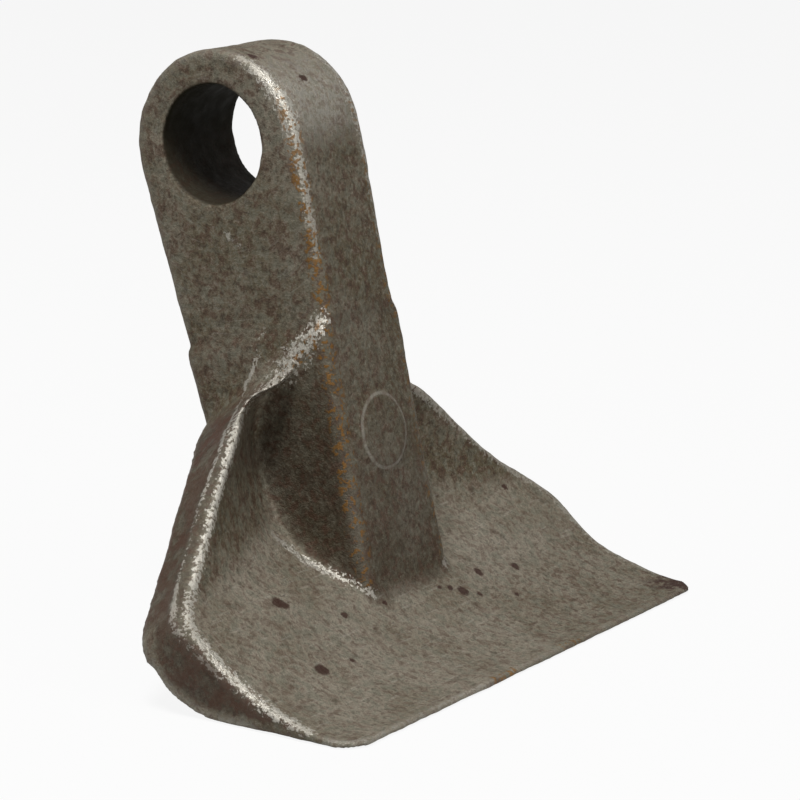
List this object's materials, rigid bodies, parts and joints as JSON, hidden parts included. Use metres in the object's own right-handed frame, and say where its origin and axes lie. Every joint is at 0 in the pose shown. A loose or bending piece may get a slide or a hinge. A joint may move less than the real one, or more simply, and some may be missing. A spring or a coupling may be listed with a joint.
{
  "type": "mulcher hammer blade",
  "caption": "Forged hammer blade for a mulcher rotor: a pin eye on a leaning shank that widens into a scooped fishtail blade with a central rib.",
  "frame": {"origin": "middle of the eye's bore, halfway between the milled faces", "axes": "+Y along the pin, +X to the cutting edge, +Z from the blade to the eye, square to the flat sole"},
  "size_m": [0.0773, 0.1148, 0.1017],
  "materials": {
    "forged_steel": "dark forging scale, worn bright on the ridges, light rust spots"
  },
  "bodies": {
    "root": {"hammer_blade": "forged_steel"}
  },
  "joints": []
}
